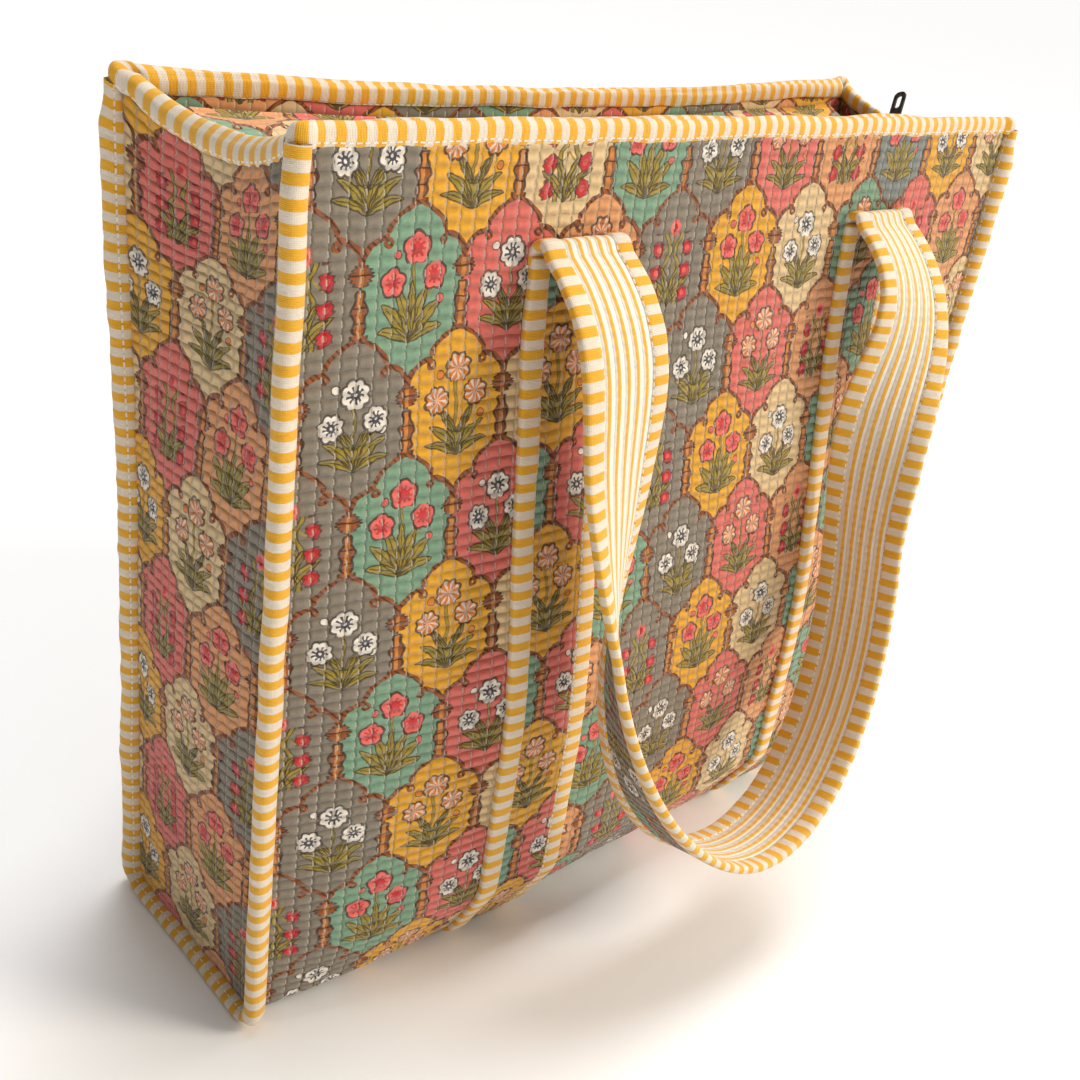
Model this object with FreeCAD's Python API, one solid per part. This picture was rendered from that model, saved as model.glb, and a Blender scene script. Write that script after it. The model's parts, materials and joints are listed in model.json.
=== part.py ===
import FreeCAD, Part
import math
import os

# A quilted cotton project bag for knitting, with a zip mouth and two strap handles.
# Millimetres. +X is to the right along the front, +Y is to the back, +Z is up.
# The origin is under the middle of the bag, on the surface it stands on.

# ---- overall sizes
overall_width = 465.0
overall_depth = 125.0
overall_height = 400.0

# ---- quilted wall: print cloth, wadding, lining
cloth_thick = 0.8
wadding_thick = 2.8
wall_thick = 2 * cloth_thick + wadding_thick
base_corner_radius = 9.0

# ---- striped binding
seam_stand = 6.8            # how far a bound seam stands out of the panels beside it
seam_lip = 3.4              # how far its folded edge laps onto each panel
seam_lip_thick = 1.8
base_seam_squash = 0.6      # the seam under the bag is pressed flatter
mouth_binding_height = 12.0
mouth_binding_cloth = 1.6
mouth_binding_round = 1.2

# ---- straps
strap_width = 47.0
strap_edge_width = 10.0
strap_edge_thick = 4.4
strap_layer_thick = 1.9     # the printed face and the striped backing, each
strap_edge_chamfer = 0.9
strap_spacing = 208.0       # between the middles of the two runs
strap_drop = 50.0           # from the bag's top down to where the sewn run ends
strap_top = overall_height - strap_drop

# ---- handles
handle_clearance = 0.5      # between a hanging handle and the sewn run behind it
handle_tilt = 15.4          # degrees out of vertical
handle_straight = 165.0     # length of each limb before it curves
handle_curve_drop = 147.0
limb_stations = 9
curve_stations = 17

# ---- zip flaps
flap_slope = 20.0           # degrees below level, as it hangs with the zip open
flap_pivot_gap = 1.5        # from the lining to the flap's hinge line
flap_pivot_below = 2.5      # from the mouth binding's lower edge to the hinge line
flap_cloth_width = 38.0
flap_half_length = 208.0
tape_thick = 0.7
tape_inner_start = 24.0     # where the tape begins between the flap's two cloths

# ---- zip
coil_radius = 1.3
coil_offset = 2.1           # from the zip's middle line to the middle of a coil
zip_clearance = 0.4
stop_length = 4.0
stop_wall = 0.5
slider_length = 12.0
slider_plate = 0.9
slider_flange = 1.0
slider_post = 0.9
slider_post_length = 3.4
slider_position = 198.0
lug_thick = 1.6
lug_length = 4.4
lug_height = 4.4
pin_radius = 0.8
pin_clearance = 0.08

# ---- zip pull
tab_length = 34.0
tab_width = 7.4
tab_thick = 1.2
tab_fork_gap = 2.4
tab_fork_depth = 4.6
tab_angle = 58.0            # degrees above the zip line, leaning to the right
tab_slot_width = 3.4
tab_slot_length = 8.0
tab_slot_margin = 2.4

# ---- worked out from the above
front_y = overall_depth / 2 - seam_stand
side_x = overall_width / 2 - seam_stand
base_z = strap_edge_thick
wall_top = overall_height - mouth_binding_cloth
binding_bottom = overall_height - mouth_binding_height
inner_x = side_x - wall_thick
inner_y = front_y - wall_thick
pivot_y = inner_y - flap_pivot_gap
pivot_z = binding_bottom - flap_pivot_below
handle_pivot_y = front_y + strap_edge_thick + handle_clearance + strap_edge_thick / 2
parked_slider_start = slider_position - slider_length / 2 - zip_clearance


def vec(x, y, z):
    return FreeCAD.Vector(x, y, z)


def box(x0, x1, y0, y1, z0, z1):
    return Part.makeBox(x1 - x0, y1 - y0, z1 - z0, vec(x0, y0, z0))


def save(shape, node):
    shape.exportStep("parts/" + node + ".step")


# ---- the wall: a block with its two lower long edges rounded, and the skins cut from it

def wall_block(out, top, x0, x1):
    """The bag's outline grown by out, with rounded lower edges along X."""
    half = front_y + out
    low = base_z - out
    radius = base_corner_radius + out
    bend = radius * math.sqrt(0.5)
    front_mid = vec(x0, -half + radius - bend, low + radius - bend)
    back_mid = vec(x0, half - radius + bend, low + radius - bend)
    edges = [
        Part.makeLine(vec(x0, -half, top), vec(x0, -half, low + radius)),
        Part.Arc(vec(x0, -half, low + radius), front_mid, vec(x0, -half + radius, low)).toShape(),
        Part.makeLine(vec(x0, -half + radius, low), vec(x0, half - radius, low)),
        Part.Arc(vec(x0, half - radius, low), back_mid, vec(x0, half, low + radius)).toShape(),
        Part.makeLine(vec(x0, half, low + radius), vec(x0, half, top)),
        Part.makeLine(vec(x0, half, top), vec(x0, -half, top)),
    ]
    return Part.Face(Part.Wire(edges)).extrude(vec(x1 - x0, 0, 0))


def wrap_skin(out_low, out_high, top, x0, x1):
    """A strip that runs down the front, under the base and up the back."""
    outside = wall_block(out_high, top, x0, x1)
    inside = wall_block(out_low, top + 1.0, x0 - 1.0, x1 + 1.0)
    return outside.cut(inside)


def make_wrap():
    lining_face = -cloth_thick - wadding_thick
    save(wrap_skin(-cloth_thick, 0.0, wall_top, -inner_x, inner_x), "wrap_print")
    save(wrap_skin(lining_face, -cloth_thick, wall_top, -inner_x, inner_x), "wrap_wadding")
    save(wrap_skin(-wall_thick, lining_face, wall_top, -inner_x, inner_x), "wrap_lining")


def make_side_panels():
    layers = [
        ("print", side_x - cloth_thick, side_x),
        ("wadding", side_x - cloth_thick - wadding_thick, side_x - cloth_thick),
        ("lining", side_x - wall_thick, side_x - cloth_thick - wadding_thick),
    ]
    for layer, near, far in layers:
        save(wall_block(0.0, wall_top, -far, -near), "left_side_" + layer)
        save(wall_block(0.0, wall_top, near, far), "right_side_" + layer)


# ---- bindings

def make_mouth_binding():
    """A cap folded over the top edge of all four walls."""
    lip = mouth_binding_cloth
    outer = box(-side_x - lip, side_x + lip, -front_y - lip, front_y + lip,
                binding_bottom, overall_height)
    inner = box(-inner_x + lip, inner_x - lip, -inner_y + lip, inner_y - lip,
                binding_bottom - 1.0, overall_height + 1.0)
    slot_outer = box(-side_x, side_x, -front_y, front_y, binding_bottom - 1.0, wall_top)
    slot_inner = box(-inner_x, inner_x, -inner_y, inner_y, binding_bottom - 2.0, wall_top + 1.0)
    cap = outer.cut(inner).cut(slot_outer.cut(slot_inner))
    top_edges = [e for e in cap.Edges if e.BoundBox.ZMin > overall_height - 0.01]
    cap = cap.makeFillet(mouth_binding_round, top_edges)
    save(cap, "mouth_binding")


def seam_section():
    """The bound seam across its run: (out of the wrap, out of the side panel)."""
    lip = seam_lip
    thick = seam_lip_thick
    nose = seam_stand
    return [
        (0.0, 0.0), (0.0, -lip), (thick, -lip + 0.2),
        (nose - 0.6, 1.0), (nose, 2.6), (nose, 4.2), (nose - 0.9, nose - 0.9),
        (4.2, nose), (2.6, nose), (1.0, nose - 0.6),
        (-lip + 0.2, thick), (-lip, 0.0),
    ]


def side_binding(side):
    """A bound seam that goes down the front corner, under the side panel and up the back."""
    section = seam_section()
    squash = base_seam_squash
    front_top = [vec(side * (side_x + b), -front_y - a, binding_bottom) for a, b in section]
    front_low = [vec(side * (side_x + b), -front_y - a, base_z - squash * a) for a, b in section]
    back_low = [vec(side * (side_x + b), front_y + a, base_z - squash * a) for a, b in section]
    back_top = [vec(side * (side_x + b), front_y + a, binding_bottom) for a, b in section]
    return solid_through([front_top, front_low, back_low, back_top], section)


def solid_through(rows, section):
    """A closed solid with flat faces through rows of matching points."""
    faces = [flat_cap(rows[0]), flat_cap(rows[-1])]
    count = len(section)
    for near, far in zip(rows[:-1], rows[1:]):
        for i in range(count):
            j = (i + 1) % count
            low, high = (i, j) if section[i] < section[j] else (j, i)
            faces.append(triangle(near[low], near[high], far[high]))
            faces.append(triangle(near[low], far[high], far[low]))
    solid = Part.makeSolid(Part.makeShell(faces))
    if solid.Volume < 0:
        solid.reverse()
    solid.fix(1e-6, 1e-6, 1e-4)
    return solid


def triangle(a, b, c):
    return Part.Face(Part.makePolygon([a, b, c, a]))


def flat_cap(points):
    return Part.Face(Part.makePolygon(points + [points[0]]))


# ---- straps sewn to the bag

def strap_layers():
    """Each layer: name, its span across the strap, its span through the thickness."""
    half = strap_width / 2
    middle = half - strap_edge_width
    return [
        ("face", -middle, middle, strap_layer_thick, 2 * strap_layer_thick),
        ("backing", -middle, middle, 0.0, strap_layer_thick),
        ("left_edge", -half, -middle, 0.0, strap_edge_thick),
        ("right_edge", middle, half, 0.0, strap_edge_thick),
    ]


def make_strap_runs():
    for side, name in ((-1, "left_run"), (1, "right_run")):
        middle = side * strap_spacing / 2
        for layer, w0, w1, low, high in strap_layers():
            run = wrap_skin(low, high, strap_top, middle + w0, middle + w1)
            save(run, name + "_" + layer)


# ---- handles: a ribbon that hangs from the two runs and twists to make a U

def handle_stations():
    """Middle, width direction and face direction of the ribbon, in the plane it hangs in.

    In that plane u is to the right and v is down the hanging handle. The third direction
    points out of the plane, away from the bag.
    """
    half = strap_spacing / 2
    stations = []
    for k in range(limb_stations):
        share = k / limb_stations
        turn = math.radians(90.0) * smooth(share)
        stations.append((-half, share * handle_straight, turn, 0.0))
    for k in range(curve_stations):
        angle = math.pi * k / (curve_stations - 1)
        u = -half * math.cos(angle)
        v = handle_straight + handle_curve_drop * math.sin(angle)
        heading = math.atan2(half * math.sin(angle), handle_curve_drop * math.cos(angle))
        stations.append((u, v, math.radians(90.0), heading))
    for k in range(limb_stations - 1, -1, -1):
        share = k / limb_stations
        turn = math.radians(90.0) * smooth(share)
        stations.append((half, share * handle_straight, turn, math.pi))
    return stations


def smooth(share):
    return share * share * (3.0 - 2.0 * share)


def handle_frame(u, v, turn, heading):
    """Middle, width and face vectors in row axes for one station of the front handle."""
    tilt = math.radians(handle_tilt)
    right = vec(1, 0, 0)
    down = vec(0, -math.sin(tilt), -math.cos(tilt))
    out = vec(0, -math.cos(tilt), math.sin(tilt))
    # across the path, inside its plane, on the side that the loop encloses
    inward = right * math.cos(heading) - down * math.sin(heading)
    width = inward * math.cos(turn) - out * math.sin(turn)
    face = inward * -math.sin(turn) - out * math.cos(turn)
    middle = vec(0, -handle_pivot_y, strap_top) + right * u + down * v
    return middle, width, face


def handle_sections():
    """Each layer of the ribbon across its run: (across the width, out of the printed face)."""
    half = strap_width / 2
    middle = half - strap_edge_width
    layer = strap_layer_thick
    edge = strap_edge_thick / 2
    cut = strap_edge_chamfer
    inner_edge = [
        (middle, -edge), (half - cut, -edge), (half, -edge + cut), (half, edge - cut),
        (half - cut, edge), (middle, edge), (middle, layer), (middle, 0.0), (middle, -layer),
    ]
    outer_edge = [(-w, n) for w, n in inner_edge]
    return {
        "face": [(-middle, 0.0), (middle, 0.0), (middle, layer), (-middle, layer)],
        "backing": [(-middle, -layer), (middle, -layer), (middle, 0.0), (-middle, 0.0)],
        "outer_edge": outer_edge,
        "inner_edge": inner_edge,
    }


def make_handles():
    frames = [handle_frame(*station) for station in handle_stations()]
    for layer, section in handle_sections().items():
        rows = []
        for middle, width, face in frames:
            rows.append([middle + width * w + face * n for w, n in section])
        front = solid_through(rows, section)
        save(front, "front_handle_" + layer)
        save(front.mirror(vec(0, 0, 0), vec(0, 1, 0)), "back_handle_" + layer)


# ---- zip flaps, drawn level from the hinge line and then turned down to hang

def hang(shape):
    """Turn a shape drawn level at the front hinge line down by the flap's slope."""
    turned = shape.copy()
    turned.rotate(vec(0, -pivot_y, pivot_z), vec(1, 0, 0), -flap_slope)
    return turned


def mirrored_back(shape):
    return shape.mirror(vec(0, 0, 0), vec(0, 1, 0))


def flap_slab(start, end, low, high, right_end):
    return box(-flap_half_length, right_end, -pivot_y + start, -pivot_y + end,
               pivot_z + low, pivot_z + high)


def coil_centre():
    return pivot_y - coil_offset


def make_flaps():
    """The front zip half carries the slider; the back one ends just short of where it parks."""
    for name, shape in flap_pieces(flap_half_length).items():
        save(hang(shape), "front_" + name)
    for name, shape in flap_pieces(parked_slider_start).items():
        save(mirrored_back(hang(shape)), "back_" + name)


def flap_pieces(zip_end):
    half_tape = tape_thick / 2
    cloth_high = half_tape + cloth_thick
    tape_end = coil_centre() - coil_radius
    length = flap_half_length
    return {
        "flap_print": flap_slab(0.0, flap_cloth_width, half_tape, cloth_high, length),
        "flap_lining": flap_slab(0.0, flap_cloth_width, -cloth_high, -half_tape, length),
        "zip_tape": flap_slab(tape_inner_start, tape_end, -half_tape, half_tape, zip_end),
        "zip_coil": coil(zip_end),
        "zip_stops": stops(zip_end),
    }


def coil(zip_end):
    y = -pivot_y + coil_centre()
    start = -flap_half_length + stop_length
    length = zip_end - stop_length - start
    return Part.makeCylinder(coil_radius, length, vec(start, y, pivot_z), vec(1, 0, 0))


def stops(zip_end):
    """Two crimped stops, one at each end of the coil."""
    y = -pivot_y + coil_centre()
    reach = coil_radius
    ends = []
    for start in (-flap_half_length, zip_end - stop_length):
        ends.append(box(start, start + stop_length, y - reach, y + reach,
                        pivot_z - reach - stop_wall, pivot_z + reach + stop_wall))
    return Part.makeCompound(ends)


# ---- zip slider, its pull and the pin between them

def slider_middle():
    return vec(slider_position, 0.0, pivot_z)


def make_slider():
    mid = slider_middle()
    inner_half = coil_offset + coil_radius + zip_clearance
    outer_half = inner_half + slider_flange
    gap = coil_radius + zip_clearance
    slot = tape_thick / 2 + zip_clearance
    x0 = mid.x - slider_length / 2
    x1 = mid.x + slider_length / 2
    body = box(x0, x1, -outer_half, outer_half, mid.z - gap - slider_plate, mid.z + gap + slider_plate)
    channel = box(x0 - 1, x1 + 1, -inner_half, inner_half, mid.z - gap, mid.z + gap)
    tape_slot = box(x0 - 1, x1 + 1, -outer_half - 1, outer_half + 1, mid.z - slot, mid.z + slot)
    post = box(x1 - slider_post_length, x1, -slider_post / 2, slider_post / 2,
               mid.z - gap, mid.z + gap)
    corners = [e for e in body.Edges if abs(e.BoundBox.ZLength) > slider_plate]
    body = body.makeFillet(1.8, corners)
    body = body.cut(channel).cut(tape_slot).fuse(post).fuse(slider_lug())
    save(hang(body.removeSplitter()), "zip_slider")


def lug_axis_height():
    return pivot_z + coil_radius + zip_clearance + slider_plate + lug_height / 2


def slider_lug():
    mid = slider_middle()
    base = mid.z + coil_radius + zip_clearance + slider_plate
    plate = box(mid.x - lug_length / 2, mid.x + lug_length / 2,
                -lug_thick / 2, lug_thick / 2, base - 0.1, base + lug_height)
    hole = Part.makeCylinder(pin_radius + pin_clearance, lug_thick + 2,
                             vec(mid.x, -lug_thick / 2 - 1, lug_axis_height()), vec(0, 1, 0))
    top = [e for e in plate.Edges
           if e.BoundBox.ZMin > base + lug_height - 0.01 and e.BoundBox.YLength > 0.1]
    return plate.makeFillet(1.2, top).cut(hole)


def make_pull():
    """The tab is drawn lying along +X from the pin, then raised to its resting lean."""
    mid = slider_middle()
    z = lug_axis_height()
    start = mid.x - 1.6
    end = mid.x + tab_length
    half = tab_width / 2
    tab = box(start, end, -half, half, z - tab_thick / 2, z + tab_thick / 2)
    far_corners = [e for e in tab.Edges
                   if e.BoundBox.ZLength > 0.1 and e.BoundBox.XMin > end - 0.1]
    tab = tab.makeFillet(half - 0.6, far_corners)
    fork = box(start - 1, mid.x + tab_fork_depth, -tab_fork_gap / 2, tab_fork_gap / 2, z - 2, z + 2)
    tab = tab.cut(fork).cut(tab_slot(end - tab_slot_margin, z))
    eyes = []
    for side in (-1, 1):
        y0 = side * tab_fork_gap / 2
        y1 = side * half
        eyes.append(Part.makeCylinder(1.6, abs(y1 - y0), vec(mid.x, min(y0, y1), z), vec(0, 1, 0)))
    tab = tab.fuse(eyes[0]).fuse(eyes[1])
    pin_half = half
    pin = Part.makeCylinder(pin_radius, 2 * pin_half, vec(mid.x, -pin_half, z), vec(0, 1, 0))
    tab = tab.cut(pin)
    save(hang(raised(tab.removeSplitter(), z)), "pull_tab")
    save(hang(raised(pin, z)), "pull_pin")


def tab_slot(far_end, z):
    radius = tab_slot_width / 2
    near = far_end - tab_slot_length + radius
    far = far_end - radius
    slot = box(near, far, -radius, radius, z - 2, z + 2)
    for x in (near, far):
        slot = slot.fuse(Part.makeCylinder(radius, 4, vec(x, 0, z - 2), vec(0, 0, 1)))
    return slot


def raised(shape, z):
    turned = shape.copy()
    turned.rotate(vec(slider_position, 0, z), vec(0, 1, 0), -tab_angle)
    return turned


os.makedirs("parts", exist_ok=True)
make_wrap()
make_side_panels()
make_mouth_binding()
save(side_binding(-1), "left_side_binding")
save(side_binding(1), "right_side_binding")
make_strap_runs()
make_handles()
make_flaps()
make_slider()
make_pull()
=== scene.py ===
import bpy
import json
from math import atan2, ceil, cos, exp, hypot, pi, radians, sin
from mathutils import Matrix, Vector, noise


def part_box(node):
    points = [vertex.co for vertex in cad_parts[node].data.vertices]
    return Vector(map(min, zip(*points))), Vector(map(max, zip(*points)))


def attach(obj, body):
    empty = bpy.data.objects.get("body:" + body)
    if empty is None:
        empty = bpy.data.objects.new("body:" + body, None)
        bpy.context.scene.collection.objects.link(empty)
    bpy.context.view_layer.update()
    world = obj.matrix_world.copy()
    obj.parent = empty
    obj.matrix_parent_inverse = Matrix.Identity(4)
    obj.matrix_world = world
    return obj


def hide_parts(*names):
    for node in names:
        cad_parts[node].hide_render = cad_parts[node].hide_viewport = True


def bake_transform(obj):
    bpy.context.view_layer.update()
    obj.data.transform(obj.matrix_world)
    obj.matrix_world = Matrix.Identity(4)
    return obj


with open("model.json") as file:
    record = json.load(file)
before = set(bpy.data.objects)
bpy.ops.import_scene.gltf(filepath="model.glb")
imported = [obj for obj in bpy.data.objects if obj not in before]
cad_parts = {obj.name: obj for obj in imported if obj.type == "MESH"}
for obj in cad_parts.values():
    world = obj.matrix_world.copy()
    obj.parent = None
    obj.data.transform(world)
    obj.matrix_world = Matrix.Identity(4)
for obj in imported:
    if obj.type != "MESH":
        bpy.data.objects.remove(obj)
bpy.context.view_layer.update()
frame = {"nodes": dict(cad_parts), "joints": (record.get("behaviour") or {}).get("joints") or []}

# ---- sizes of the plain bag, taken from the frame, in metres
wrap_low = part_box("wrap_print")[0]
run_low, run_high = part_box("left_run_face")
side_x = -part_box("left_side_print")[0][0]
front_y = -wrap_low[1]
base_z = wrap_low[2]
wall_thick = side_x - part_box("right_side_lining")[0][0]
binding_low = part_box("mouth_binding")[0][2]
binding_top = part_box("mouth_binding")[1][2]
strap_top = run_high[2]
run_spacing = -run_low[0] - run_high[0]
edge_width = run_low[0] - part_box("left_run_left_edge")[0][0]
face_half = (run_high[0] - run_low[0]) / 2
strip_half = face_half + 0.0015           # a strap's strips reach under its edge bindings
strap_thick = base_z                      # the bag stands on its straps
base_corner = 0.009

# ---- how the soft bag differs from the plain box
belly_depth = 0.030            # how far the filled lower part stands out at front and back
belly_high = 0.100             # height of its fullest part
belly_top = 0.385              # where the walls are flat again
side_pinch = 0.0045            # how far the mouth's short ends fold inwards
side_droop = 0.017             # and how far they sag
side_fullness = 0.005
back_sag = 0.008
corner_droop = 0.003           # of the back left corner of the mouth
corner_splay = 0.004           # which also leans outwards
strap_drift = 0.0065           # the straps are sewn a little right of the middle
mouth_wave = 0.0016
wrinkle = 0.0016
wrinkle_length = 0.055
base_sag = 0.0034              # the base cloth reaches the floor between the straps
strap_hold, strap_fade = 0.026, 0.022     # how far beside a strap's middle it holds the cloth up

# ---- quilting and print, in metres of cloth
quilt_line = 0.007
quilt_stitch = 0.005
puff_height = 0.0013
cell_width = 0.0463
cell_rise = 0.0473

mouth_roll = 0.0048            # half the height of the rolled binding at the mouth
roll_half_thick = 0.0041
edge_half_thick = 0.0023       # of the folded binding on a strap's edge
fold_radius = 0.005            # of the handle where it turns over at the top of the run
limb_bow = 0.020               # how far a limb springs out below that turn
bow_length = 0.045
handle_bend = 0.075            # length of a limb that bends as the handle is raised

# ---- spacing of the points of each kind of piece
quilt_pitch = 0.00172
lining_pitch = 0.003
seam_pitch = 0.0025
run_pitch = 0.0024
corner_gap = 0.0012            # the walls stop this far inside the corner seams


# ---------------------------------------------------------------- small sums

def smooth(share):
    share = min(1.0, max(0.0, share))
    return share * share * (3 - 2 * share)


def mix(a, b, share):
    return a + (b - a) * share


def steps(start, end, pitch):
    """Evenly spaced values from start to end, about one pitch apart."""
    count = max(1, ceil(abs(end - start) / pitch))
    return [start + (end - start) * i / count for i in range(count + 1)]


def rumple(x, y, z, length):
    return noise.noise(Vector((x, y, z)) / length)


# ---------------------------------------------------------------- the soft shape of the whole bag

def belly_share(z):
    """How full the bag is at a height: drawn in a little at the base, flat again at the mouth."""
    rise = 0.30 + 0.70 * smooth(z / 0.050)
    fall = 1 - smooth((z - belly_high) / (belly_top - belly_high))
    return rise * fall


def near_strap(x):
    middle = run_spacing / 2
    return 1 - smooth((abs(abs(x - strap_drift) - middle) - strap_hold) / strap_fade)


def settle(point):
    """Where a point of the plain box lies once the cloth has bulged, folded and sagged."""
    x, y, z = point
    across = min(1.0, abs(x) / side_x)
    deep = max(-1.0, min(1.0, y / front_y))
    at_end = across ** 8
    high = smooth((z - 0.20) / 0.20)
    belly = (1 - across ** 3.2) * belly_share(z)
    fold = (1 - deep * deep) * at_end
    back_left = smooth(deep) * smooth(0.5 - x / side_x / 2) * high
    outward = 1 if x > 0 else -1

    new_y = y + deep * belly_depth * belly
    new_y += abs(deep) * wrinkle * (1 - at_end) * rumple(x, deep, z * 0.6, wrinkle_length)
    new_y += corner_splay * back_left
    new_x = x - outward * side_pinch * fold * high - corner_splay * back_left
    new_x += outward * side_fullness * at_end * (1 - deep * deep) * sin(pi * min(1, z / 0.3))
    new_x += wrinkle * at_end * (1 - deep ** 4) * rumple(y, x, z * 0.6, wrinkle_length)

    new_z = z - side_droop * fold * smooth((z - 0.30) / 0.10)
    new_z -= back_sag * (1 - across * across) * high * smooth(deep)
    new_z -= corner_droop * back_left
    new_z += mouth_wave * high * (1 - at_end) * rumple(x, deep * 3, 0, 0.07)
    low = 1 - smooth((z - base_z) / 0.02)
    new_z -= base_sag * low * (1 - near_strap(x)) * (1 - across ** 6) * (1 - deep ** 6)
    return Vector((new_x, new_y, new_z))


# ---------------------------------------------------------------- meshes of cloth

def put_in_scene(name, data):
    thing = bpy.data.objects.new(name, data)
    bpy.context.scene.collection.objects.link(thing)
    return thing


def cloth_mesh(name, points, faces, cloth_places):
    """A mesh with a UV map, in metres of cloth, given point by point."""
    mesh = bpy.data.meshes.new(name)
    mesh.from_pydata(points, [], faces)
    uv = mesh.uv_layers.new(name="cloth")
    corners = [0] * len(mesh.loops)
    mesh.loops.foreach_get("vertex_index", corners)
    flat = []
    for vertex in corners:
        flat.extend(cloth_places[vertex])
    uv.data.foreach_set("uv", flat)
    mesh.polygons.foreach_set("use_smooth", [True] * len(mesh.polygons))
    return put_in_scene(name, mesh)


def grid(name, acrosses, alongs, place, turned=False):
    """An open sheet. place(across, along) is a point; the pair is also its place on the cloth."""
    points, places, faces = [], [], []
    wide = len(acrosses)
    for along in alongs:
        for across in acrosses:
            points.append(place(across, along))
            places.append((across, along))
    for row in range(len(alongs) - 1):
        for column in range(wide - 1):
            a = row * wide + column
            face = (a, a + 1, a + wide + 1, a + wide)
            faces.append(face[::-1] if turned else face)
    return cloth_mesh(name, points, faces, places)


def tube(name, rings, alongs, arounds, closed_round, turned=False, looped=False):
    """Rings of points joined into a band. The UV is (distance around, distance along)."""
    points, places, faces = [], [], []
    count = len(rings[0])
    for ring, along in zip(rings, alongs):
        for point, around in zip(ring, arounds):
            points.append(point)
            places.append((around, along))
    columns = count if closed_round else count - 1
    last = len(rings) if looped else len(rings) - 1
    for row in range(last):
        below = (row + 1) % len(rings) * count
        for k in range(columns):
            n = (k + 1) % count
            face = (row * count + k, row * count + n, below + n, below + k)
            faces.append(face[::-1] if turned else face)
    if closed_round and not looped:
        faces.append(tuple(range(count)) if turned else tuple(reversed(range(count))))
        start = (len(rings) - 1) * count
        end = [start + k for k in range(count)]
        faces.append(tuple(reversed(end)) if turned else tuple(end))
    return cloth_mesh(name, points, faces, places)


def shift_cloth(piece, across, along, flip=False):
    """Moves a piece's place on the printed cloth, or turns it upside down there."""
    sign = -1 if flip else 1
    for corner in piece.data.uv_layers["cloth"].data:
        u, v = corner.uv
        corner.uv = (sign * u + across, sign * v + along)


# ---------------------------------------------------------------- the folded wrap and its quilting

def wrap_place(v):
    """Point and outward direction of the wrap in the Y-Z plane, v metres of cloth above the front
    bottom corner. Below zero it goes round under the base and up the back."""
    straight = 2 * (front_y - base_corner)
    arc = base_corner * pi / 2
    low = base_z + base_corner
    if v >= 0:
        return -front_y, low + v, -1.0, 0.0
    down = -v
    if down <= arc:
        turn = down / base_corner
        return (-front_y + base_corner * (1 - cos(turn)), low - base_corner * sin(turn),
                -cos(turn), -sin(turn))
    down -= arc
    if down <= straight:
        return -front_y + base_corner + down, base_z, 0.0, -1.0
    down -= straight
    if down <= arc:
        turn = down / base_corner
        return (front_y - base_corner * (1 - sin(turn)), low - base_corner * cos(turn),
                sin(turn), -cos(turn))
    return front_y, low + down - arc, 1.0, 0.0


wrap_under = 2 * (front_y - base_corner) + base_corner * pi
wall_high = binding_low + 0.0055         # the walls end inside the mouth's binding
wrap_high = wall_high - base_z - base_corner


def puff(u, v):
    """Height of the quilted cloth: rows of small pillows between the lines of running stitch."""
    line = 2 * abs(u / quilt_line - round(u / quilt_line))
    rib = abs(sin(pi * v / quilt_stitch))
    pull = 0.75 + 0.5 * noise.noise(Vector((u, v, 0)) / 0.02)
    return puff_height * pull * (0.30 + 0.70 * rib) * (1 - 0.8 * (1 - line) ** 4)


def wrap_point(x, v, lift):
    y, z, out_y, out_z = wrap_place(v)
    return settle((x, y + out_y * lift, z + out_z * lift))


def quilted_wrap(name, v_low, v_high, pitch, lift=0.0, depth=1.0, turned=False):
    half = side_x - corner_gap
    return grid(name, steps(-half, half, pitch), steps(v_low, v_high, pitch),
                lambda x, v: wrap_point(x, v, lift + depth * puff(x, v)), turned)


def make_wrap():
    front = quilted_wrap("wrap_front_quilt", 0.0, wrap_high, quilt_pitch)
    base = quilted_wrap("wrap_base_quilt", -wrap_under, 0.0, 0.0022)
    back = quilted_wrap("wrap_back_quilt", -wrap_under - wrap_high, -wrap_under, quilt_pitch)
    low = base_z + base_corner
    for piece in (front, base, back):
        shift_cloth(piece, 0.199, low - 0.325)
        dress(piece, "bag", "print_cloth", print_cloth)
    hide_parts("wrap_print", "wrap_wadding")


def make_wrap_lining():
    inside = (-wall_thick, -0.5, True)
    front = quilted_wrap("wrap_lining_front", 0.0, wrap_high, lining_pitch, *inside)
    base = quilted_wrap("wrap_lining_base", -wrap_under, 0.0, 0.004, *inside)
    back = quilted_wrap("wrap_lining_back", -wrap_under - wrap_high, -wrap_under, lining_pitch,
                        *inside)
    for piece, length in ((front, wrap_high), (base, wrap_under), (back, wrap_high)):
        shift_cloth(piece, 0.10, 0.02, flip=True)
        dress(piece, "bag", "lining_cloth", lining_cloth)
    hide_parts("wrap_lining")


def side_point(outward, u, z, lift):
    """A point of a side panel; u runs from left to right as seen from outside."""
    y = u if outward > 0 else -u
    return settle((outward * (side_x + lift), y, z))


def make_side_panel(side, outward):
    half = front_y - corner_gap
    quilt = grid(f"{side}_side_quilt", steps(-half, half, 0.0016),
                 steps(base_z, wall_high, quilt_pitch),
                 lambda u, z: side_point(outward, u, z, puff(u, z)))
    shift_cloth(quilt, cell_width, -0.348)
    dress(quilt, "bag", "print_cloth", gusset_cloth)
    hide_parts(f"{side}_side_print", f"{side}_side_wadding")
    inside = grid(f"{side}_side_lining_quilt", steps(-half, half, lining_pitch),
                  steps(base_z, wall_high, lining_pitch),
                  lambda u, z: side_point(outward, u, z, -wall_thick - 0.5 * puff(u, z)), True)
    shift_cloth(inside, 0.03, 0.01, flip=True)
    dress(inside, "bag", "lining_cloth", lining_cloth)
    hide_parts(f"{side}_side_lining")


# ---------------------------------------------------------------- striped bindings

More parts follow.
